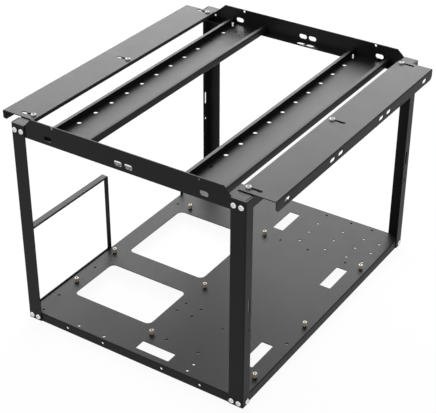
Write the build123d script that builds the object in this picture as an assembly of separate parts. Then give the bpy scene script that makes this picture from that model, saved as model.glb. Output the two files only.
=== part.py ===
from build123d import *
from math import hypot
import os

os.makedirs("parts", exist_ok=True)

# Open air test bench in folded sheet steel. Sizes are in millimetres, +Z is up and +X runs to the right
# along the front. The origin is the middle of the footprint, on the surface the bench stands on.

# Sheet and bends
sheet = 1.2
bend = 1.5
inner_bend = bend - sheet

# Overall frame
frame_x = 338.0
frame_y = 434.1
post_top = 294.8
half_x = frame_x / 2
half_y = frame_y / 2
lip_x = half_x - sheet
lip_y = half_y - sheet

# Corner posts: angle section, the wide leg faces front or back
post_leg_x = 20.5
post_leg_y = 15.0
post_slot_z = 148.8
post_slot_length = 20.0
post_slot_width = 4.2
post_hole_z = 113.6
post_side_y = 207.1

# Base plate with lips folded down on four sides
base_top = 12.65
corner_relief = 2.4
window_left = -140.2
window_right = -14.3
window_radius = 8.0
windows = [(-157.0, -71.6), (-32.8, 96.1)]
cut_outs = [
    (136.5, 70.4, 17.0, 51.2),
    (136.5, -131.4, 17.0, 51.2),
    (7.9, 160.3, 17.0, 51.2),
    (24.7, -197.1, 51.2, 17.0),
]
cut_out_radius = 1.5
tab_y = 138.9
tab_width = 6.0
tab_height = 12.0

# Motherboard standoffs on the 0.1 inch grid of the board pattern
inch = 25.4
board_x = 0.0
board_y = -171.15
grid_x = [6.2 * inch, 0.0, -6.1 * inch, -5.2 * inch]
grid_y = [0.0, 4.9 * inch, 11.1 * inch, 1.5 * inch]
standoff_columns = [(0, 0), (0, 1), (0, 2), (1, 0), (1, 1), (1, 2), (2, 1), (2, 3), (3, 2)]
standoff_height = 6.35
standoff_flats = 5.5
standoff_stud = 4.0
standoff_bore = 2.9
standoff_bore_depth = 5.0

# Screws: pan head, cross recess
shank = 3.5
head_width = 7.1
head_height = 2.5
head_round = 1.1
recess_width = 0.9
recess_length = 4.4
recess_depth = 1.3
tapped_hole = shank + 0.06
clear_hole = shank + 0.5
collar_width = 5.0
collar_height = 1.2
screw_x = (153.0, 163.0)
screw_low_z = 6.2
screw_high_z = 286.2
side_screw_y = 208.6
screw_past = 0.6

# Spare holes of the base plate
spare_tapped = [
    (-154.9, -171.2), (-155.0, -92.4), (-154.7, 110.5), (-0.1, -92.3), (24.1, -92.1), (-1.0, -111.8),
    (22.6, -111.1), (71.5, -112.4), (22.9, -170.6), (72.3, -170.5), (157.0, -91.9), (26.7, 110.9),
    (72.3, 110.9), (132.8, 111.7), (91.6, 207.3), (126.4, 207.4), (-150.9, -208.0),
]
spare_hole = 3.7
spare_columns = [50.4, 92.2, 127.0, 152.1]
spare_rows = [126.05, 153.05, 180.05]
spare_singles = [(50.4, 206.9), (-89.6, -209.4), (-48.6, -209.4), (80.5, -192.4), (80.5, -206.7)]
lip_hole_x = [-104.7, -46.6, 46.6, 104.7]

# Front and back beams: web on edge, bottom flange turned inward
beam_bottom = 277.7
front_top = 306.0
back_top = 304.1
beam_flange = 13.35
beam_corner_in = 138.2
beam_corner_out = 148.5
beam_end_gap = 0.3
web_slot_length = 12.2
web_slot_width = 6.4
web_slot_z = 286.8
web_slot_x = [-112.5, -7.5, 7.5, 112.5]
web_hole = 3.6
web_hole_x = 105.6
web_hole_drop = 2.6
flange_slot_y = 209.0
ear_width = 22.0
ear_reach = 8.0

# Side beams: top flange, outer web and an end tab behind each end beam
side_flange = lip_x - (half_x - post_leg_x)
side_web_bottom = 279.6
end_gap = 0.3
tab_clear = 0.5

# Channels that hang between the end beams
channel_width = 60.0
channel_height = 10.1
channel_lip = 5.4
channel_left_x = -96.25
channel_right_x = 99.45
channel_row = 9.65
channel_hole = 3.7
channel_hole_y = -151.45
channel_pitch = 32.87
channel_holes = 11
channel_screw_y = 201.2
channel_screw_past = 7.0

# Top plates: slotted, they slide in under their screws
plate_length = 400.0
plate_outer = 197.2
plate_lip = 14.6
plate_inner_lip = 4.6
plate_gap = 0.05
plate_lip_gap = 0.2
plate_corner = 4.0
plate_screw_x = 155.3
plate_screw_y = [-190.6, 1.5, 193.6]
plate_slot_width = 4.6
plate_travel = 16.0
lip_slot_y = [-176.7, -72.6, -52.5, 52.5, 72.6, 176.7]
lip_slot_z = 288.0
lip_slot_length = 12.2
lip_slot_width = 5.4

# Bracket on the left lip
bracket_front = -201.75
bracket_back = -38.05
bracket_front_leg = 5.0
bracket_back_leg = 7.7
bracket_sill = 14.45
bracket_head = 128.1
bracket_top = 130.2
bracket_flange = 10.0
bracket_hole = 2.8
bracket_hole_x = -171.2
bracket_hole_y = [-126.1, -86.7]
bracket_screw_y = [-165.0, -70.0]


def folded(points):
    """Face of a bent strip. The points are the outer corners in order, all bends turning one way."""
    path = [Vector(*p) for p in points]
    legs = [(b - a).normalized() for a, b in zip(path, path[1:])]
    turn = 1 if legs[0].cross(legs[1]).Z > 0 else -1
    normals = [Vector(-d.Y, d.X) * turn for d in legs]
    inner = [path[0] + normals[0] * sheet]
    for point, first, second in zip(path[1:], normals, normals[1:]):
        inner.append(point + (first + second) * sheet)
    inner.append(path[-1] + normals[-1] * sheet)
    face = make_face(Polyline(*path, *reversed(inner), close=True))
    for outside, inside in zip(path[1:-1], inner[1:-1]):
        face = fillet(face.vertices().sort_by_distance(outside)[0], bend)
        face = fillet(face.vertices().sort_by_distance(inside)[0], inner_bend)
    return face


def along_x(face, length):
    """Extrude a face drawn in Y and Z by equal amounts to the left and right."""
    return extrude(Plane.YZ * face, length / 2, both=True)


def along_y(face, length):
    """Extrude a face drawn in X and Z by equal amounts to the front and back."""
    return extrude(Plane.XZ * face, length / 2, both=True)


def cutter(shape, place, reach=3.0):
    """Solid that cuts a flat shape through one sheet, whose outer face lies on the given plane."""
    return extrude(place * shape, reach, both=True)


def facing_z(x, y, z, turn=0.0):
    return Plane(origin=(x, y, z), x_dir=(1, 0, 0), z_dir=(0, 0, 1)) * Rot(0, 0, turn)


def facing_y(x, y, z):
    return Plane(origin=(x, y, z), x_dir=(1, 0, 0), z_dir=(0, -1, 0))


def facing_x(x, y, z):
    return Plane(origin=(x, y, z), x_dir=(0, 1, 0), z_dir=(1, 0, 0))


def collar(origin, direction):
    """Ring pushed out of the sheet for the thread. It starts inside the sheet, so the two join."""
    place = Plane(origin=origin, z_dir=direction)
    return extrude(place * Circle(collar_width / 2), collar_height + sheet / 2)


def screw(origin, direction, grip):
    """Pan head screw. The origin is under the head, the direction points out of the head."""
    place = Plane(origin=origin, z_dir=direction)
    head = Pos(0, 0, head_height / 2) * Cylinder(head_width / 2, head_height)
    head = fillet(head.edges().sort_by(Axis.Z)[-1], head_round)
    arm = Pos(0, 0, head_height - recess_depth / 2)
    head -= arm * Box(recess_length, recess_width, recess_depth)
    head -= arm * Box(recess_width, recess_length, recess_depth)
    stem = Pos(0, 0, -grip / 2) * Cylinder(shank / 2, grip)
    tip = chamfer(stem.edges().sort_by(Axis.Z)[0], 0.4)
    return place.location * (head + tip)


def post(side_x, side_y):
    """Corner post. Its two legs lie outside the lips of the base plate and the end beams."""
    corner = (side_x * half_x, side_y * half_y)
    face = folded([
        (side_x * (half_x - post_leg_x), corner[1]),
        corner,
        (corner[0], side_y * (half_y - post_leg_y)),
    ])
    body = extrude(face, post_top)
    cuts = []
    for x in screw_x:
        for z in (screw_low_z, screw_high_z):
            cuts.append(cutter(Circle(clear_hole / 2), facing_y(side_x * x, corner[1], z)))
    side = Circle(clear_hole / 2)
    cuts.append(cutter(side, facing_x(corner[0], side_y * side_screw_y, screw_low_z)))
    cuts.append(cutter(side, facing_x(corner[0], side_y * post_side_y, post_hole_z)))
    slot = SlotOverall(post_slot_length, post_slot_width, rotation=90)
    cuts.append(cutter(slot, facing_x(corner[0], side_y * post_side_y, post_slot_z)))
    return body - cuts


def base_plate():
    """Tray with its lips down, motherboard holes, two windows and four cable cut-outs."""
    body = Pos(0, 0, base_top / 2) * Box(2 * lip_x, 2 * lip_y, base_top)
    body = fillet(body.edges().filter_by(Axis.Z), 2 * inner_bend)
    body = fillet(body.edges().group_by(Axis.Z)[-1], bend)
    under = base_top - sheet
    body -= Pos(0, 0, under / 2) * Box(2 * (lip_x - sheet), 2 * (lip_y - sheet), under)
    relief = base_top - 2 * bend
    for side_x in (-1, 1):
        for side_y in (-1, 1):
            spot = Pos(side_x * lip_x, side_y * lip_y, relief / 2)
            body -= spot * Box(2 * corner_relief, 2 * corner_relief, relief)
    tab = Box(sheet, tab_width, tab_height + sheet)
    tab = fillet(tab.edges().filter_by(Axis.X).group_by(Axis.Z)[-1], 1.5)
    body += Pos(-lip_x + sheet / 2, tab_y, base_top + (tab_height - sheet) / 2) * tab

    tapped = list(spare_tapped) + standoff_places()
    collars = [collar((x, y, base_top - sheet / 2), (0, 0, -1)) for x, y in tapped]
    cuts = [cutter(Circle(tapped_hole / 2), facing_z(x, y, base_top), 4.0) for x, y in tapped]
    for side_x in (-1, 1):
        for side_y in (-1, 1):
            for x in screw_x:
                spot = (side_x * x, side_y * (lip_y - sheet / 2), screw_low_z)
                collars.append(collar(spot, (0, -side_y, 0)))
                cuts.append(cutter(Circle(tapped_hole / 2), facing_y(*spot), 4.0))
            spot = (side_x * (lip_x - sheet / 2), side_y * side_screw_y, screw_low_z)
            collars.append(collar(spot, (-side_x, 0, 0)))
            cuts.append(cutter(Circle(tapped_hole / 2), facing_x(*spot), 4.0))
    for y in bracket_screw_y:
        spot = (-lip_x + sheet / 2, y, screw_low_z)
        collars.append(collar(spot, (1, 0, 0)))
        cuts.append(cutter(Circle(tapped_hole / 2), facing_x(*spot), 4.0))

    middle = (window_left + window_right) / 2
    for front, back in windows:
        window = RectangleRounded(window_right - window_left, back - front, window_radius)
        cuts.append(cutter(window, facing_z(middle, (front + back) / 2, base_top)))
    for x, y, wide, deep in cut_outs:
        opening = RectangleRounded(wide, deep, cut_out_radius)
        cuts.append(cutter(opening, facing_z(x, y, base_top)))
    plain = [(x, y) for x in spare_columns for y in spare_rows] + list(spare_singles)
    for x, y in plain:
        cuts.append(cutter(Circle(spare_hole / 2), facing_z(x, y, base_top)))
    for x in lip_hole_x:
        cuts.append(cutter(Circle(spare_hole / 2), facing_y(x, -lip_y, screw_low_z)))
    return body + collars - cuts


def standoff_places():
    """Hole positions of the fitted standoffs."""
    return [(board_x + grid_x[i], board_y + grid_y[j]) for i, j in standoff_columns]


def standoff(x, y):
    """Hexagonal standoff with its stud through the base plate and a blind bore in its top."""
    body = extrude(RegularPolygon(standoff_flats / 2, 6, major_radius=False), standoff_height)
    body = chamfer(body.edges().group_by(Axis.Z)[-1], 0.3)
    bore = Pos(0, 0, standoff_height - standoff_bore_depth / 2)
    body -= bore * Cylinder(standoff_bore / 2, standoff_bore_depth)
    body += Pos(0, 0, -standoff_stud / 2) * Cylinder(shank / 2, standoff_stud)
    return Pos(x, y, base_top) * body


def end_beam(side, top):
    """Front or back beam. Its ends are lower, so they tuck in behind the posts."""
    outer = side * lip_y
    face = folded([(outer, top), (outer, beam_bottom), (outer - side * beam_flange, beam_bottom)])
    body = along_x(face, 2 * (lip_x - beam_end_gap))
    for centre in (channel_left_x, channel_right_x):
        row = centre - channel_width / 2 + channel_row
        ear_y = side * (lip_y - beam_flange - (ear_reach - 1.0) / 2 + 0.5)
        spot = Pos(row, ear_y, beam_bottom + sheet / 2)
        body += spot * Box(ear_width, ear_reach, sheet)
    cuts = []
    for end in (-1, 1):
        corner = Polyline(
            (end * beam_corner_in, top),
            (end * beam_corner_out, post_top),
            (end * (lip_x + 1), post_top),
            (end * (lip_x + 1), top + 1),
            (end * beam_corner_in, top + 1),
            close=True,
        )
        cuts.append(extrude(facing_y(0, outer, 0) * make_face(corner), 4.0, both=True))
        for x in screw_x:
            spot = facing_y(end * x, outer, screw_high_z)
            cuts.append(cutter(Circle(clear_hole / 2), spot))
        spot = facing_y(end * web_hole_x, outer, top - web_hole_drop)
        cuts.append(cutter(Circle(web_hole / 2), spot))
    for x in web_slot_x:
        slot = SlotOverall(web_slot_length, web_slot_width)
        cuts.append(cutter(slot, facing_y(x, outer, web_slot_z)))
    for x in web_slot_x[1:3]:
        slot = SlotOverall(web_slot_length, web_slot_width)
        cuts.append(cutter(slot, facing_z(x, side * flange_slot_y, beam_bottom)))
    for centre in (channel_left_x, channel_right_x):
        row = centre - channel_width / 2 + channel_row
        spot = facing_z(row, side * channel_screw_y, beam_bottom)
        cuts.append(cutter(Circle(clear_hole / 2), spot))
    return body - cuts


def side_beam(side):
    """Side beam. Its top flange carries a top plate, its end tabs take the post screws."""
    reach = lip_y - sheet
    outer = side * lip_x
    inner = outer - side * side_flange
    face = folded([(inner, post_top), (outer, post_top), (outer, side_web_bottom)])
    body = along_y(face, 2 * (reach - end_gap))
    collars = []
    cuts = []
    for end in (-1, 1):
        tab_face = folded([
            (end * (reach - 6.0), post_top),
            (end * reach, post_top),
            (end * reach, side_web_bottom),
        ])
        wide = side_flange - sheet - tab_clear
        tab_x = inner + side * wide / 2
        body += Pos(tab_x, 0, 0) * along_x(tab_face, wide)
        for x in screw_x:
            spot = (side * x, end * (reach - sheet / 2), screw_high_z)
            collars.append(collar(spot, (0, -end, 0)))
            cuts.append(cutter(Circle(tapped_hole / 2), facing_y(*spot)))
    for y in plate_screw_y:
        spot = (side * plate_screw_x, y, post_top - sheet / 2)
        collars.append(collar(spot, (0, 0, -1)))
        cuts.append(cutter(Circle(tapped_hole / 2), facing_z(*spot)))
    return body + collars - cuts


def channel(centre):
    """Lipped channel, open side up, with a row of holes along its left edge."""
    low = beam_bottom + sheet
    high = low + channel_height
    left = centre - channel_width / 2
    right = centre + channel_width / 2
    face = folded([
        (left + channel_lip, high), (left, high), (left, low),
        (right, low), (right, high), (right - channel_lip, high),
    ])
    body = along_y(face, 2 * (lip_y - sheet - end_gap))
    row = left + channel_row
    collars = []
    cuts = []
    for i in range(channel_holes):
        spot = facing_z(row, channel_hole_y + i * channel_pitch, low)
        cuts.append(cutter(Circle(channel_hole / 2), spot))
    for end in (-1, 1):
        spot = (row, end * channel_screw_y, low + sheet / 2)
        collars.append(collar(spot, (0, 0, 1)))
        cuts.append(cutter(Circle(tapped_hole / 2), facing_z(*spot)))
    return body + collars - cuts


def top_plate(side):
    """Top plate, drawn at rest with its screws at the inner ends of its slots."""
    low = post_top + plate_gap
    high = low + sheet
    outer = side * plate_outer
    inner = side * (half_x - post_leg_x - sheet - plate_lip_gap)
    face = folded([
        (inner, high - plate_inner_lip), (inner, high), (outer, high), (outer, high - plate_lip),
    ])
    body = along_y(face, plate_length)
    cuts = []
    middle = plate_screw_x + plate_travel / 2
    for y in plate_screw_y:
        slot = SlotOverall(plate_travel + plate_slot_width, plate_slot_width)
        cuts.append(cutter(slot, facing_z(side * middle, y, high)))
    for y in lip_slot_y:
        slot = SlotOverall(lip_slot_length, lip_slot_width)
        cuts.append(cutter(slot, facing_x(outer, y, lip_slot_z)))
    for end in (-1, 1):
        spot = Pos(outer, end * plate_length / 2, high - plate_lip) * Rot(45, 0, 0)
        across = plate_corner * hypot(1, 1)
        cuts.append(spot * Box(4 * sheet, across, across))
    return body - cuts


def side_bracket():
    """Open rectangular frame on the left lip, with a flange turned outward along its top."""
    face = folded([(-lip_x, 0), (-lip_x, bracket_top), (-lip_x - bracket_flange, bracket_top)])
    long = bracket_back - bracket_front
    middle = (bracket_front + bracket_back) / 2
    body = Pos(0, middle, 0) * along_y(face, long)
    front = bracket_front + bracket_front_leg
    back = bracket_back - bracket_back_leg
    window = RectangleRounded(back - front, bracket_head - bracket_sill, 1.5)
    centre_z = (bracket_sill + bracket_head) / 2
    cuts = [cutter(window, facing_x(-lip_x, (front + back) / 2, centre_z))]
    for y in bracket_hole_y:
        cuts.append(cutter(Circle(bracket_hole / 2), facing_z(bracket_hole_x, y, bracket_top)))
    for y in bracket_screw_y:
        cuts.append(cutter(Circle(clear_hole / 2), facing_x(-lip_x, y, screw_low_z)))
    return body - cuts


def end_screws(side):
    """Eight screws through the wide legs of two posts."""
    screws = []
    for x in screw_x:
        for end in (-1, 1):
            low = (end * x, side * half_y, screw_low_z)
            high = (end * x, side * half_y, screw_high_z)
            screws.append(screw(low, (0, side, 0), 2 * sheet + collar_height + screw_past))
            screws.append(screw(high, (0, side, 0), 3 * sheet + collar_height + screw_past))
    return Compound(children=screws)


def side_screws(side):
    """Two screws through the narrow legs of two posts, into the lip of the base plate."""
    grip = 2 * sheet + collar_height + screw_past
    screws = []
    for end in (-1, 1):
        screws.append(screw((side * half_x, end * side_screw_y, screw_low_z), (side, 0, 0), grip))
    return Compound(children=screws)


def plate_screws(side):
    """Three screws that clamp a top plate to its side beam."""
    under_head = post_top + 2 * plate_gap + sheet
    grip = 2 * plate_gap + 2 * sheet + collar_height + screw_past
    screws = [screw((side * plate_screw_x, y, under_head), (0, 0, 1), grip) for y in plate_screw_y]
    return Compound(children=screws)


def channel_screws():
    """Four screws that come up through the end beams into the channels."""
    screws = []
    for centre in (channel_left_x, channel_right_x):
        row = centre - channel_width / 2 + channel_row
        for end in (-1, 1):
            spot = (row, end * channel_screw_y, beam_bottom)
            screws.append(screw(spot, (0, 0, -1), 2 * sheet + channel_screw_past))
    return Compound(children=screws)


def bracket_screws():
    """Two screws that hold the bracket to the left lip."""
    grip = 2 * sheet + collar_height + screw_past
    screws = [screw((-half_x, y, screw_low_z), (-1, 0, 0), grip) for y in bracket_screw_y]
    return Compound(children=screws)


parts = {
    "base_plate": base_plate(),
    "post_front_left": post(-1, -1),
    "post_front_right": post(1, -1),
    "post_back_left": post(-1, 1),
    "post_back_right": post(1, 1),
    "front_beam": end_beam(-1, front_top),
    "back_beam": end_beam(1, back_top),
    "side_beam_left": side_beam(-1),
    "side_beam_right": side_beam(1),
    "channel_left": channel(channel_left_x),
    "channel_right": channel(channel_right_x),
    "top_plate_left": top_plate(-1),
    "top_plate_right": top_plate(1),
    "side_bracket": side_bracket(),
    "standoffs": Compound(children=[standoff(x, y) for x, y in standoff_places()]),
    "front_post_screws": end_screws(-1),
    "back_post_screws": end_screws(1),
    "left_post_screws": side_screws(-1),
    "right_post_screws": side_screws(1),
    "left_plate_screws": plate_screws(-1),
    "right_plate_screws": plate_screws(1),
    "channel_screws": channel_screws(),
    "bracket_screws": bracket_screws(),
}

for name, shape in parts.items():
    export_step(shape, f"parts/{name}.step")
    print(name, len(shape.solids()), "solids", round(shape.volume), "cubic millimetres")
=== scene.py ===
import math

import bmesh
import bpy
import numpy as np
from mathutils import Matrix, Vector


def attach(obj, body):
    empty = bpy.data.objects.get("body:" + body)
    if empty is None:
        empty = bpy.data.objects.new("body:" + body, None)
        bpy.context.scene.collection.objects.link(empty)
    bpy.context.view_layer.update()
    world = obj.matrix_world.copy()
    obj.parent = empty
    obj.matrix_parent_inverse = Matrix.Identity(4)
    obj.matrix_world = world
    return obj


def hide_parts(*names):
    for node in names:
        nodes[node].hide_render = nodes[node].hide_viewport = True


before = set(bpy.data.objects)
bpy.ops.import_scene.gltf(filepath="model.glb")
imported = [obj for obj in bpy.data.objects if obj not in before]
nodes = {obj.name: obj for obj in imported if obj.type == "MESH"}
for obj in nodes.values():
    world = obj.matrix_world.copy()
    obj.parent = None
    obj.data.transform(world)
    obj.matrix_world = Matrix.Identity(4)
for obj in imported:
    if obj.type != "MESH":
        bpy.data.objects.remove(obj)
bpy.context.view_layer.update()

print("frame loaded:", len(nodes), "nodes")


# Camera, at the angle from which the bench was photographed

cameraView = {
    "place": (0.7575, -1.17455, 0.991),  # metres
    "azimuth": 33.146,   # degrees, how far the camera stands round to the right
    "elevation": 31.971, # degrees above the horizon
    "roll": 0.183,       # degrees
    "lens": 100.453,     # millimetres on a sensor 36 wide
}


def addCamera(view):
    az, el, roll = (math.radians(view[k]) for k in ("azimuth", "elevation", "roll"))
    back = Vector((math.sin(az) * math.cos(el), -math.cos(az) * math.cos(el), math.sin(el)))
    level = Vector((math.cos(az), math.sin(az), 0.0))
    up = back.cross(level)
    across = level * math.cos(roll) + up * math.sin(roll)
    upright = up * math.cos(roll) - level * math.sin(roll)
    turned = Matrix((across, upright, back)).transposed().to_4x4()
    data = bpy.data.cameras.new("camera")
    data.lens = view["lens"]
    data.sensor_width = 36.0
    data.clip_start = 0.05
    data.clip_end = 60.0
    camera = bpy.data.objects.new("camera", data)
    bpy.context.scene.collection.objects.link(camera)
    camera.matrix_world = Matrix.Translation(view["place"]) @ turned
    bpy.context.scene.camera = camera


addCamera(cameraView)
bpy.context.scene.view_settings.view_transform = "Standard"
print("camera placed")


# Small helpers for node trees and meshes

def newTree(name):
    # material with an empty node tree and its output node
    material = bpy.data.materials.new(name)
    material.use_nodes = True
    tree = material.node_tree
    tree.nodes.clear()
    output = tree.nodes.new("ShaderNodeOutputMaterial")
    return material, tree, output


def gridFaces(rows, columns, wrap):
    # quads between neighbouring rows, closed round the columns when wrap is true
    i = np.arange(rows - 1)[:, None]
    j = np.arange(columns if wrap else columns - 1)[None, :]
    k = (j + 1) % columns
    corners = (i * columns + j, i * columns + k, (i + 1) * columns + k, (i + 1) * columns + j)
    return np.stack([c + 0 * i for c in corners], axis=-1).reshape(-1, 4)


weldDistance = 1e-7  # metres, points closer than this become one


def meshPiece(name, points, faces, material, body, smoothAngle=35.0):
    # closes the seams and poles of the grids and rounds the shading up to the given angle, in degrees
    data = bpy.data.meshes.new(name)
    data.from_pydata(points.tolist(), [], faces.tolist())
    work = bmesh.new()
    work.from_mesh(data)
    bmesh.ops.remove_doubles(work, verts=work.verts, dist=weldDistance)
    work.to_mesh(data)
    work.free()
    data.validate()
    data.materials.append(material)
    piece = bpy.data.objects.new(name, data)
    bpy.context.scene.collection.objects.link(piece)
    for polygon in data.polygons:
        polygon.use_smooth = True
    data.set_sharp_from_angle(angle=math.radians(smoothAngle))
    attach(piece, body)
    return piece


# Floor, backdrop and lamps

studio = {
    "floorColour": (0.80, 0.80, 0.80),
    "floorSize": 12.0,     # metres, side of the floor
    "floorWhite": 0.94,    # share of plain white that the camera sees in the floor
    "worldLight": 0.48,
    "backLamp": {"aim": (0.0, 0.0, 0.2), "azimuth": 213.0, "elevation": 31.0, "away": 2.6, "wide": 3.0, "high": 2.0,
                 "radiance": 7.8},
    "frontLamp": {"aim": (0.0, 0.0, 0.2), "azimuth": -35.0, "elevation": 40.0, "away": 2.6, "wide": 1.6, "high": 1.2,
                  "radiance": 2.0},
}


def addLamp(name, lamp):
    # the azimuth counts from the front, as the camera's does; radiance times area times pi gives the watts
    az, el = math.radians(lamp["azimuth"]), math.radians(lamp["elevation"])
    back = Vector((math.sin(az) * math.cos(el), -math.cos(az) * math.cos(el), math.sin(el)))
    data = bpy.data.lights.new(name, "AREA")
    data.shape = "RECTANGLE"
    data.size = lamp["wide"]
    data.size_y = lamp["high"]
    data.energy = lamp["radiance"] * math.pi * lamp["wide"] * lamp["high"]
    item = bpy.data.objects.new(name, data)
    bpy.context.scene.collection.objects.link(item)
    item.location = Vector(lamp["aim"]) + back * lamp["away"]
    item.rotation_mode = "QUATERNION"
    item.rotation_quaternion = (-back).to_track_quat("-Z", "Y")
    item.visible_camera = False


def seenDirectly(tree):
    # 1 for camera, glossy and transmission rays, 0 for the rays that carry light
    path = tree.nodes.new("ShaderNodeLightPath")
    first = tree.nodes.new("ShaderNodeMath")
    first.operation = "MAXIMUM"
    second = tree.nodes.new("ShaderNodeMath")
    second.operation = "MAXIMUM"
    tree.links.new(path.outputs["Is Camera Ray"], first.inputs[0])
    tree.links.new(path.outputs["Is Glossy Ray"], first.inputs[1])
    tree.links.new(first.outputs[0], second.inputs[0])
    tree.links.new(path.outputs["Is Transmission Ray"], second.inputs[1])
    return second.outputs[0]


def addStudio(values):
    half = values["floorSize"] / 2
    corners = np.array([(-half, -half, 0), (half, -half, 0), (half, half, 0), (-half, half, 0)], float)
    data = bpy.data.meshes.new("floor")
    data.from_pydata(corners.tolist(), [], [(0, 1, 2, 3)])
    floor = bpy.data.objects.new("floor", data)
    bpy.context.scene.collection.objects.link(floor)

    material, tree, output = newTree("paleFloor")
    matte = tree.nodes.new("ShaderNodeBsdfDiffuse")
    matte.inputs["Color"].default_value = (*values["floorColour"], 1.0)
    white = tree.nodes.new("ShaderNodeEmission")
    white.inputs["Strength"].default_value = 1.0
    mix = tree.nodes.new("ShaderNodeMixShader")
    share = tree.nodes.new("ShaderNodeMath")
    share.operation = "MULTIPLY"
    share.inputs[1].default_value = values["floorWhite"]
    tree.links.new(seenDirectly(tree), share.inputs[0])
    tree.links.new(share.outputs[0], mix.inputs[0])
    tree.links.new(matte.outputs[0], mix.inputs[1])
    tree.links.new(white.outputs[0], mix.inputs[2])
    # from below the floor is clear, so that the underside of the bench can be seen
    clear = tree.nodes.new("ShaderNodeBsdfTransparent")
    facing = tree.nodes.new("ShaderNodeNewGeometry")
    sides = tree.nodes.new("ShaderNodeMixShader")
    tree.links.new(facing.outputs["Backfacing"], sides.inputs[0])
    tree.links.new(mix.outputs[0], sides.inputs[1])
    tree.links.new(clear.outputs[0], sides.inputs[2])
    tree.links.new(sides.outputs[0], output.inputs["Surface"])
    data.materials.append(material)

    world = bpy.data.worlds.new("studio")
    bpy.context.scene.world = world
    world.use_nodes = True
    tree = world.node_tree
    tree.nodes.clear()
    output = tree.nodes.new("ShaderNodeOutputWorld")
    soft = tree.nodes.new("ShaderNodeBackground")
    soft.inputs["Strength"].default_value = values["worldLight"]
    plain = tree.nodes.new("ShaderNodeBackground")
    plain.inputs["Color"].default_value = (1.0, 1.0, 1.0, 1.0)
    soft.inputs["Color"].default_value = (1.0, 1.0, 1.0, 1.0)
    mix = tree.nodes.new("ShaderNodeMixShader")
    tree.links.new(seenDirectly(tree), mix.inputs[0])
    tree.links.new(soft.outputs[0], mix.inputs[1])
    tree.links.new(plain.outputs[0], mix.inputs[2])
    tree.links.new(mix.outputs[0], output.inputs["Surface"])

    addLamp("backLamp", values["backLamp"])
    addLamp("frontLamp", values["frontLamp"])


addStudio(studio)
print("floor and lamps set up")


# Finishes

finishes = {
    "coat": {"colour": (0.0118, 0.0118, 0.0122), "ior": 1.195, "grain": 1000.0, "roughLow": 0.40, "roughHigh": 0.43,
             "bump": 0.45, "metal": 0.0},
    "zinc": {"colour": (0.74, 0.74, 0.75), "grain": 2500.0, "roughLow": 0.14, "roughHigh": 0.22, "bump": 0.03,
             "metal": 1.0},
    # painted shade: a darker, less metallic copy of the zinc for the plate screws, whose tops face the back lamp, so
    # that they do not clip to white; these screws are the same zinc as the others
    "zincPaintedShade": {"colour": (0.60, 0.60, 0.61), "ior": 1.25, "grain": 2500.0, "roughLow": 0.20, "roughHigh": 0.30,
                 "bump": 0.03, "metal": 0.08},
    "brass": {"colour": (0.47, 0.415, 0.33), "ior": 1.25, "grain": 2500.0, "roughLow": 0.22, "roughHigh": 0.30,
              "bump": 0.03, "metal": 0.14},
}


grainShape = {"fineDetail": 2.0, "broadScale": 45.0, "broadDetail": 4.0, "darkest": 0.3, "lightest": 0.7,
              "depth": 0.0002}  # depth in metres


def fineGrainGroup(shape):
    # a small noise gives the height, a broad one the roughness, both in the object's own space
    group = bpy.data.node_groups.new("fineGrain", "ShaderNodeTree")
    face = group.interface
    face.new_socket("Vector", in_out="INPUT", socket_type="NodeSocketVector")
    face.new_socket("Scale", in_out="INPUT", socket_type="NodeSocketFloat")
    face.new_socket("Low", in_out="INPUT", socket_type="NodeSocketFloat")
    face.new_socket("High", in_out="INPUT", socket_type="NodeSocketFloat")
    face.new_socket("Height", in_out="OUTPUT", socket_type="NodeSocketFloat")
    face.new_socket("Roughness", in_out="OUTPUT", socket_type="NodeSocketFloat")
    start = group.nodes.new("NodeGroupInput")
    end = group.nodes.new("NodeGroupOutput")
    fine = group.nodes.new("ShaderNodeTexNoise")
    fine.inputs["Detail"].default_value = shape["fineDetail"]
    broad = group.nodes.new("ShaderNodeTexNoise")
    broad.inputs["Scale"].default_value = shape["broadScale"]
    broad.inputs["Detail"].default_value = shape["broadDetail"]
    spread = group.nodes.new("ShaderNodeMapRange")
    spread.inputs["From Min"].default_value = shape["darkest"]
    spread.inputs["From Max"].default_value = shape["lightest"]
    link = group.links.new
    link(start.outputs["Vector"], fine.inputs["Vector"])
    link(start.outputs["Vector"], broad.inputs["Vector"])
    link(start.outputs["Scale"], fine.inputs["Scale"])
    link(broad.outputs["Fac"], spread.inputs["Value"])
    link(start.outputs["Low"], spread.inputs["To Min"])
    link(start.outputs["High"], spread.inputs["To Max"])
    link(fine.outputs["Fac"], end.inputs["Height"])
    link(spread.outputs["Result"], end.inputs["Roughness"])
    return group


def finish(name, values, grainGroup):
    material, tree, output = newTree(name)
    shader = tree.nodes.new("ShaderNodeBsdfPrincipled")
    shader.inputs["Base Color"].default_value = (*values["colour"], 1.0)
    shader.inputs["Metallic"].default_value = values["metal"]
    if "ior" in values:
        shader.inputs["IOR"].default_value = values["ior"]
    place = tree.nodes.new("ShaderNodeTexCoord")
    grain = tree.nodes.new("ShaderNodeGroup")
    grain.node_tree = grainGroup
    grain.inputs["Scale"].default_value = values["grain"]
    grain.inputs["Low"].default_value = values["roughLow"]
    grain.inputs["High"].default_value = values["roughHigh"]
    bump = tree.nodes.new("ShaderNodeBump")
    bump.inputs["Strength"].default_value = values["bump"]
    bump.inputs["Distance"].default_value = grainShape["depth"]
    link = tree.links.new
    link(place.outputs["Object"], grain.inputs["Vector"])
    link(grain.outputs["Height"], bump.inputs["Height"])
    link(grain.outputs["Roughness"], shader.inputs["Roughness"])
    link(bump.outputs["Normal"], shader.inputs["Normal"])
    link(shader.outputs["BSDF"], output.inputs["Surface"])
    return material


fineGrain = fineGrainGroup(grainShape)
blackCoat = finish("blackCoat", finishes["coat"], fineGrain)
zincPlate = finish("zincPlate", finishes["zinc"], fineGrain)
zincPaintedShade = finish("zincPaintedShade", finishes["zincPaintedShade"], fineGrain)
turnedBrass = finish("turnedBrass", finishes["brass"], fineGrain)

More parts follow.
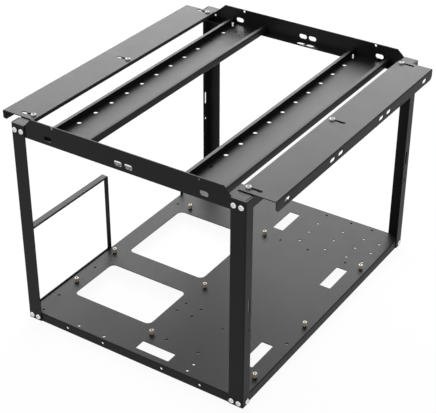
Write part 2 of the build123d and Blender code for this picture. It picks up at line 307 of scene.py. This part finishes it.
sheetMetal = [
    "base_plate", "post_front_left", "post_front_right", "post_back_left", "post_back_right", "front_beam",
    "back_beam", "side_beam_left", "side_beam_right", "channel_left", "channel_right", "top_plate_left",
    "top_plate_right", "side_bracket",
]
for name in sheetMetal:
    nodes[name].data.materials.clear()
    nodes[name].data.materials.append(blackCoat)
print("coat on the sheet metal")


# Frame sizes that the fasteners share, in millimetres

bench = {
    "sheet": 1.2,
    "halfX": 169.0,
    "halfY": 217.05,
    "postTop": 294.8,
    "baseTop": 12.65,
    "plateGap": 0.05,
    "collar": 1.2,
    "past": 0.6,
}


def threadWave(angle, height, pitch):
    # 0 at the root and 1 at the crest of a right-handed thread, a rounded triangle along the axis
    phase = (height / pitch - angle / (2 * math.pi)) % 1.0
    return 0.5 - 0.5 * np.cos(2 * math.pi * phase)


def placeRound(local, origin, direction, turn):
    # local z goes along the direction; the turn is about it, in degrees
    axis = Vector(direction).normalized()
    side = Vector((0, 0, 1)) if abs(axis.z) < 0.5 else Vector((0, 1, 0))
    across = side.cross(axis).normalized()
    upward = axis.cross(across)
    c, s = math.cos(math.radians(turn)), math.sin(math.radians(turn))
    first, second = across * c + upward * s, upward * c - across * s
    basis = np.array([first[:], second[:], axis[:]])
    return (local @ basis + np.array(origin)) * 0.001


def joined(shells):
    # one mesh from several grids of points and their faces
    points, faces, start = [], [], 0
    for shellPoints, shellFaces in shells:
        points.append(shellPoints)
        faces.append(shellFaces + start)
        start += len(shellPoints)
    return np.concatenate(points), np.concatenate(faces)


# Lipped channels with wide holes, drawn again over the plain ones

channel = {
    "centres": (-96.25, 99.45),
    "width": 60.0,
    "height": 10.1,
    "bottom": 278.9,
    "lip": 5.4,
    "bend": 1.5,
    "halfLength": 214.35,
    "row": 9.65,
    "holes": 11,
    "firstHole": -151.45,
    "pitch": 32.87,
    "holeWide": 6.0,
    "screwY": 201.2,
    "screwHole": 3.56,
    "collarWide": 5.0,
    "patch": 5.0,      # half the side of the square round each hole
    "holeSides": 32,   # a multiple of four
    "bendSteps": 6,
}


def channelSide(values, sheet, edge, inward, levels):
    # The section runs along the outside from the floor over two bends to the lip's end and back along the inside.
    # Each bend is a quarter circle, and every row repeats the section at one level along the channel.
    bend, tall = values["bend"], values["height"]
    start = values["row"] - inward * values["patch"]
    turn = np.linspace(0, math.pi / 2, values["bendSteps"])

    def path(radius, floor, roof):
        middle = edge + inward * bend
        across = np.concatenate([[start], middle - inward * radius * np.sin(turn),
                                 middle - inward * radius * np.cos(turn), [edge + inward * values["lip"]]])
        high = np.concatenate([[floor], bend - radius * np.cos(turn), tall - bend + radius * np.sin(turn), [roof]])
        return across, high

    outside = path(bend, 0.0, tall)
    inside = path(bend - sheet, sheet, tall - sheet)
    across = np.concatenate([outside[0], inside[0][::-1]])
    high = np.concatenate([outside[1], inside[1][::-1]])
    rows, columns = len(levels), len(across)
    local = np.stack([across + 0 * levels[:, None], levels[:, None] + 0 * across, high + 0 * levels[:, None]], axis=-1)
    k = np.arange(columns // 2 - 1)
    first = np.stack([k, k + 1, columns - 2 - k, columns - 1 - k], axis=-1)
    last = first[:, ::-1] + (rows - 1) * columns
    faces = np.concatenate([gridFaces(rows, columns, False), first[:, ::-1], last[:, ::-1]])
    return local.reshape(-1, 3), faces if inward > 0 else faces[:, ::-1]


def holePatch(values, sheet, y, rings):
    # A square of the floor round one hole. The outer row is the square, the others are circles down the hole.
    sides = values["holeSides"]
    angles = 2 * math.pi * np.arange(sides) / sides - 0.75 * math.pi
    c, s = np.cos(angles), np.sin(angles)
    square = values["patch"] / np.maximum(abs(c), abs(s))
    radius = np.stack([square, *(r + 0 * c for r, z in rings), square])
    high = np.stack([sheet + 0 * c, *(z + 0 * c for r, z in rings), 0 * c])
    local = np.stack([values["row"] + radius * c, y + radius * s, high], axis=-1)
    return local.reshape(-1, 3), gridFaces(*radius.shape, True)


def flatStrip(firstLine, secondLine):
    # quads between two lines of points
    return np.concatenate([firstLine, secondLine]), gridFaces(2, len(firstLine), False)


def channelShell(values, sheet):
    holes = [values["firstHole"] + i * values["pitch"] for i in range(values["holes"])]
    places = sorted([(y, False) for y in holes] + [(e * values["screwY"], True) for e in (-1, 1)])
    step = values["patch"] * np.tan(np.linspace(-math.pi / 4, math.pi / 4, values["holeSides"] // 4 + 1))
    half = values["halfLength"]
    levels = np.concatenate([[-half], *(y + step for y, forScrew in places), [half]])
    shells = [channelSide(values, sheet, 0.0, 1, levels), channelSide(values, sheet, values["width"], -1, levels)]
    wide, bore, rim = values["holeWide"] / 2, values["screwHole"] / 2, values["collarWide"] / 2
    plain = ((wide, sheet), (wide, 0.0))
    raised = ((rim, sheet), (rim, 2 * sheet), (bore, 2 * sheet), (bore, 0.0))
    shells += [holePatch(values, sheet, y, raised if forScrew else plain) for y, forScrew in places]

    def line(y, z):
        return np.stack([values["row"] + step, y + 0 * step, z + 0 * step], axis=-1)

    starts = [-half] + [y + values["patch"] for y, forScrew in places]
    ends = [y - values["patch"] for y, forScrew in places] + [half]
    for low, high in zip(starts, ends):
        shells.append(flatStrip(line(low, sheet), line(high, sheet)))
        shells.append(flatStrip(line(high, 0.0), line(low, 0.0)))
    shells.append(flatStrip(line(-half, 0.0), line(-half, sheet)))
    shells.append(flatStrip(line(half, sheet), line(half, 0.0)))
    return joined(shells)


def addChannels(values, size):
    points, faces = channelShell(values, size["sheet"])
    for word, centre in zip(("left", "right"), values["centres"]):
        corner = np.array([centre - values["width"] / 2, 0.0, values["bottom"]])
        piece = meshPiece(word + "Channel", (points + corner) * 0.001, faces, blackCoat, "frame")
        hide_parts("channel_" + word)


addChannels(channel, bench)
print("channels made")


# Pan head screws with a cross recess and a cut thread

panScrew = {
    "shank": 3.5,
    "threadDepth": 0.28,
    "pitch": 0.6,
    "headWidth": 7.1,
    "headHeight": 2.5,
    "crown": 0.55,
    "edgeRound": 1.0,
    "recessLength": 4.6,
    "recessWidth": 1.15,
    "recessDepth": 1.7,
    "recessTaper": 0.3,
    "fineRadius": 2.3,    # the top has its fine rows inside this radius
    "fineRows": 14,
    "rimSteps": 7,
    "seatEdge": 0.12,
    "threadStart": 0.15,
    "threadEnd": 0.35,
    "tipTaper": 0.42,
    "rowsPerTurn": 5,
    "quarter": (-45, -32, -23, -17, -12.5, -8, -4, 0, 4, 8, 12.5, 17, 23, 32),
}


def screwShell(values, grip):
    # Rows run from the middle of the head's top over its rim, under it, down the thread and over the tip.
    # Radius and height are functions of the row and the angle: a crowned disc less a tapered cross for the top,
    # a quarter circle for the rim, and a shank whose radius follows the thread wave.
    angles = np.radians(np.array([q + 90 * k for k in range(4) for q in values["quarter"]]))[None, :]
    wide, tall, rim = values["headWidth"] / 2, values["headHeight"], values["edgeRound"]
    edge = wide - rim
    fine = values["fineRadius"]
    radii = np.concatenate([np.linspace(0, fine, values["fineRows"]), np.linspace(fine, edge, 4)[1:]])
    radii = radii[:, None] + 0 * angles
    x, y = radii * np.cos(angles), radii * np.sin(angles)
    half, taper, reach = values["recessWidth"] / 2, values["recessTaper"], values["recessLength"] / 2

    def arm(along, over):
        sides = np.clip((half + taper - np.abs(over)) / taper, 0, 1)
        ends = np.clip((reach - np.abs(along)) / (1.6 * taper), 0, 1)
        return sides * ends * (1 - 0.25 * np.abs(along) / reach)

    cross = np.maximum(arm(x, y), arm(y, x))
    crown = values["crown"] * (radii / edge) ** 2
    top = tall - crown - values["recessDepth"] * cross
    rows = [(radii, top)]
    bow = np.linspace(0, math.pi / 2, values["rimSteps"])[1:, None] + 0 * angles
    shoulder = tall - values["crown"]
    rows.append((edge + rim * np.sin(bow), shoulder - rim * (1 - np.cos(bow))))
    rows.append((wide + 0 * angles, values["seatEdge"] + 0 * angles))
    rows.append((wide - values["seatEdge"] + 0 * angles, 0 * angles))
    core = values["shank"] / 2
    rows.append((core + 0 * angles, 0 * angles))
    depth, pitch = values["threadDepth"], values["pitch"]
    start, end = values["threadStart"], grip - values["threadEnd"]
    down = np.arange(start, end, pitch / values["rowsPerTurn"])[:, None] + 0 * angles
    fade = np.clip((down - 0.1) / 0.5, 0, 1)  # the thread runs out under the head
    rows.append((core - depth * fade * (1 - threadWave(angles, down, pitch)), -down))
    rows.append((core - values["tipTaper"] + 0 * angles, -grip + 0 * angles))
    rows.append((0 * angles, -grip + 0 * angles))
    radius = np.concatenate([r for r, z in rows])
    height = np.concatenate([z + 0 * r for r, z in rows])
    local = np.stack([radius * np.cos(angles), radius * np.sin(angles), height], axis=-1)
    count, around = radius.shape
    return local.reshape(-1, 3), gridFaces(count, around, True)[:, ::-1]


def screwSet(name, node, body, spots, metal=zincPlate):
    # each spot is the point under the head, the direction out of the head, the grip and the turn of the cross
    shells = []
    for origin, direction, grip, turn in spots:
        local, faces = screwShell(panScrew, grip)
        shells.append((placeRound(local, origin, direction, turn), faces))
    points, faces = joined(shells)
    piece = meshPiece(name, points, faces, metal, body)
    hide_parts(node)


screwSpots = {
    "postX": (153.0, 163.0),
    "low": 6.2,
    "high": 286.2,
    "sideY": 208.6,
    "plateX": 155.3,
    "plateY": (-190.6, 1.5, 193.6),
    "channelX": (-116.6, 79.1),
    "channelY": 201.2,
    "channelZ": 277.7,
    "channelPast": 7.0,
    "bracketY": (-165.0, -70.0),
    "turns": (12, 61, 38, 80, 25, 70, 5, 49),
}


def addScrews(spots, size):
    halfX, halfY, sheet = size["halfX"], size["halfY"], size["sheet"]
    short = 2 * sheet + size["collar"] + size["past"]
    turns = spots["turns"]
    for side, word in ((-1, "front"), (1, "back")):
        found = []
        for i, x in enumerate((-spots["postX"][1], -spots["postX"][0], *spots["postX"])):
            found.append(((x, side * halfY, spots["low"]), (0, side, 0), short, turns[i]))
            found.append(((x, side * halfY, spots["high"]), (0, side, 0), short + sheet, turns[i + 4]))
        screwSet(word + "PostScrews", word + "_post_screws", "frame", found)
    for side, word in ((-1, "left"), (1, "right")):
        found = [((side * halfX, end * spots["sideY"], spots["low"]), (side, 0, 0), short, turns[2 + end])
                 for end in (-1, 1)]
        screwSet(word + "PostScrews", word + "_post_screws", "frame", found)
        under = size["postTop"] + 2 * size["plateGap"] + sheet
        grip = 2 * size["plateGap"] + short
        found = [((side * spots["plateX"], y, under), (0, 0, 1), grip, turns[i + 3 + side])
                 for i, y in enumerate(spots["plateY"])]
        # the plate screws take the darker copy of the zinc, painted shade against the back lamp's glare on their tops
        screwSet(word + "PlateScrews", word + "_plate_screws", "frame", found, zincPaintedShade)
    found = [((x, end * spots["channelY"], spots["channelZ"]), (0, 0, -1), 2 * sheet + spots["channelPast"], 20)
             for x in spots["channelX"] for end in (-1, 1)]
    screwSet("channelScrews", "channel_screws", "frame", found)
    found = [((-halfX, y, spots["low"]), (-1, 0, 0), short, 35) for y in spots["bracketY"]]
    screwSet("bracketScrews", "bracket_screws", "frame", found)


addScrews(screwSpots, bench)
print("screws made")


# Brass standoffs: hexagonal, with a turned chamfer and a threaded bore

standoff = {
    "flats": 5.5,
    "height": 6.35,
    "stud": 4.0,
    "shank": 3.5,
    "chamfer": 0.35,
    "bore": 2.9,
    "boreDepth": 5.0,
    "boreThread": 0.22,
    "studThread": 0.25,
    "studTaper": 0.4,
    "rowsPerTurn": 5,
    "sides": 48,
    "pitch": 0.6,
    "boardX": 0.0,
    "boardY": -171.15,
    "inch": 25.4,
    "grid": ((6.2, 0.0), (6.2, 4.9), (6.2, 11.1), (0.0, 0.0), (0.0, 4.9), (0.0, 11.1), (-6.1, 1.5), (-6.1, 4.9),
             (-5.2, 11.1)),
    "turns": (0, 17, 41, 8, 29, 52, 13, 36, 47),
}


def standoffShell(values):
    # Rows run up the stud, out under the hexagon, up its side, over the chamfer and down the bore. The side's
    # radius is that of a hexagon, cut by a cone for the chamfer, and stud and bore follow the thread wave.
    angles = np.arange(values["sides"])[None, :] * (2 * math.pi / values["sides"])
    flat = values["flats"] / 2
    hexagon = flat / np.cos((angles + math.pi / 6) % (math.pi / 3) - math.pi / 6)
    corner = flat / math.cos(math.pi / 6)
    core, pitch = values["shank"] / 2, values["pitch"]
    foot, rise = -values["stud"] + 0 * angles, pitch / values["rowsPerTurn"]
    rows = [(0 * angles, foot), (core - values["studTaper"] + 0 * angles, foot)]
    up = np.arange(0.3 - values["stud"], -0.1, rise)[:, None] + 0 * angles
    rows.append((core - values["studThread"] * (1 - threadWave(angles, up, pitch)), up))
    rows.append((core + 0 * angles, 0 * angles))
    tall, cut = values["height"], values["chamfer"]
    for level in (0.0, cut, tall - cut, tall - cut / 2, tall):
        end = max(cut - level, cut - (tall - level), 0.0)
        rows.append((np.minimum(hexagon, corner - end * 1.7 * (corner - flat) / cut * 0.75), level + 0 * angles))
    bore = values["bore"] / 2
    rows.append((bore + 0.25 + 0 * angles, tall + 0 * angles))
    down = np.arange(tall - 0.25, tall - values["boreDepth"] + 0.2, -rise)[:, None] + 0 * angles
    rows.append((bore - values["boreThread"] * threadWave(angles, down, pitch), down))
    rows.append((0 * angles, tall - values["boreDepth"] + 0 * angles))
    radius = np.concatenate([r for r, z in rows])
    height = np.concatenate([z + 0 * r for r, z in rows])
    local = np.stack([radius * np.cos(angles), radius * np.sin(angles), height], axis=-1)
    return local.reshape(-1, 3), gridFaces(*radius.shape, True)


def addStandoffs(values, size):
    shells = []
    for (across, along), turn in zip(values["grid"], values["turns"]):
        x = values["boardX"] + across * values["inch"]
        y = values["boardY"] + along * values["inch"]
        local, faces = standoffShell(values)
        shells.append((placeRound(local, (x, y, size["baseTop"]), (0, 0, 1), turn), faces))
    points, faces = joined(shells)
    piece = meshPiece("brassStandoffs", points, faces, turnedBrass, "frame", 25.0)
    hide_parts("standoffs")


addStandoffs(standoff, bench)
print("standoffs made")


# Threads in the spare tapped holes of the base plate

spareThreads = {
    "hole": 3.56,
    "depth": 0.26,
    "pitch": 0.6,
    "margin": 0.2,
    "sunk": 0.2,       # how far the closed side of the ring lies in the metal
    "rowsPerTurn": 5,
    "sides": 24,
    "holes": ((-154.9, -171.2), (-155.0, -92.4), (-154.7, 110.5), (-0.1, -92.3), (24.1, -92.1), (-1.0, -111.8),
              (22.6, -111.1), (71.5, -112.4), (22.9, -170.6), (72.3, -170.5), (157.0, -91.9), (26.7, 110.9),
              (72.3, 110.9), (132.8, 111.7), (-150.9, -208.0), (91.6, 207.3), (126.4, 207.4)),
}


def addThreads(values, size):
    # closed ring for each hole: its inner side follows the thread wave, its outer side lies in the metal
    angles = np.arange(values["sides"])[None, :] * (2 * math.pi / values["sides"])
    wall, pitch = values["hole"] / 2, values["pitch"]
    top = size["baseTop"] - values["margin"]
    low = size["baseTop"] - size["sheet"] - size["collar"] + values["margin"]
    down = np.arange(top, low, -pitch / values["rowsPerTurn"])[:, None] + 0 * angles
    inner = wall - values["depth"] * threadWave(angles, down, pitch)
    outer = wall + values["sunk"] + 0 * angles
    radius = np.concatenate([outer, inner, outer])
    height = np.concatenate([top + 0 * angles, down, low + 0 * angles])
    radius, height = np.concatenate([radius, radius[:1]]), np.concatenate([height, height[:1]])
    local = np.stack([radius * np.cos(angles), radius * np.sin(angles), height], axis=-1)
    faces = gridFaces(*radius.shape, True)
    shells = [((local.reshape(-1, 3) + np.array([x, y, 0.0])) * 0.001, faces) for x, y in values["holes"]]
    points, faces = joined(shells)
    meshPiece("tappedThreads", points, faces, blackCoat, "frame")


addThreads(spareThreads, bench)
print("threads cut")
